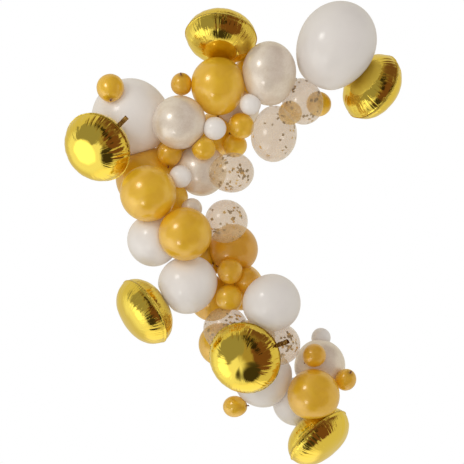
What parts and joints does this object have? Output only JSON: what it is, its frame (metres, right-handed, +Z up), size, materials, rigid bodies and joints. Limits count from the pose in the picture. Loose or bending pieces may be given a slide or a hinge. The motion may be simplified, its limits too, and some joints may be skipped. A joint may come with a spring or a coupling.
{
  "type": "balloon garland",
  "caption": "Slanting S-shaped wall garland of gold, white, pearl and confetti latex balloons pressed together, with round gold foil balloons among them.",
  "frame": {"origin": "the middle of the flat where the upper back balloon, back_hanger, presses on the wall", "axes": "+Z up the wall, +X to the right as seen from the front, +Y into the wall, so the garland faces -Y"},
  "size_m": [1.6758, 0.544, 2.3181],
  "materials": {
    "gold_latex": "pearlescent gold latex, blown up, semi-gloss",
    "white_latex": "plain white latex, satin",
    "pearl_latex": "pearl white latex, glossy, marbled by the pearl pigment",
    "clear_latex": "clear latex with gold foil confetti inside",
    "gold_foil": "mirror gold metallised film, wrinkled towards the crimped seam"
  },
  "bodies": {
    "root": {"gold_top": "gold_latex", "gold_left_back": "gold_latex", "gold_left_front": "gold_latex", "gold_left_inner": "gold_latex", "gold_middle": "gold_latex", "gold_waist": "gold_latex", "gold_low_left": "gold_latex", "gold_low_back": "gold_latex", "gold_foot": "gold_latex", "white_left": "white_latex", "white_top_right": "white_latex", "white_side": "white_latex", "white_waist_left": "white_latex", "white_waist_right": "white_latex", "white_low": "white_latex", "white_foot": "white_latex", "pearl_left": "pearl_latex", "pearl_top": "pearl_latex", "pearl_middle": "pearl_latex", "pearl_foot": "pearl_latex", "confetti_right": "clear_latex", "confetti_top": "clear_latex", "confetti_middle": "clear_latex", "confetti_waist": "clear_latex", "confetti_low_left": "clear_latex", "confetti_low_right": "clear_latex", "back_hanger": "pearl_latex", "back_top": "gold_latex", "back_right": "pearl_latex", "back_neck": "gold_latex", "back_left": "gold_latex", "back_side": "white_latex", "back_middle": "gold_latex", "back_waist": "gold_latex", "back_low": "pearl_latex", "mini_gold_1": "gold_latex", "mini_gold_2": "gold_latex", "mini_gold_3": "gold_latex", "mini_gold_4": "gold_latex", "mini_gold_5": "gold_latex", "mini_gold_6": "gold_latex", "mini_gold_7": "gold_latex", "mini_gold_8": "gold_latex", "mini_gold_9": "gold_latex", "mini_gold_10": "gold_latex", "mini_gold_11": "gold_latex", "mini_gold_12": "gold_latex", "mini_gold_13": "gold_latex", "mini_gold_14": "gold_latex", "mini_white_1": "white_latex", "mini_white_2": "white_latex", "mini_white_3": "white_latex", "mini_white_4": "white_latex", "mini_pearl": "pearl_latex", "foil_top": "gold_foil", "foil_right": "gold_foil", "foil_left": "gold_foil", "foil_low_left": "gold_foil", "foil_front": "gold_foil", "foil_foot": "gold_foil"}
  },
  "joints": []
}
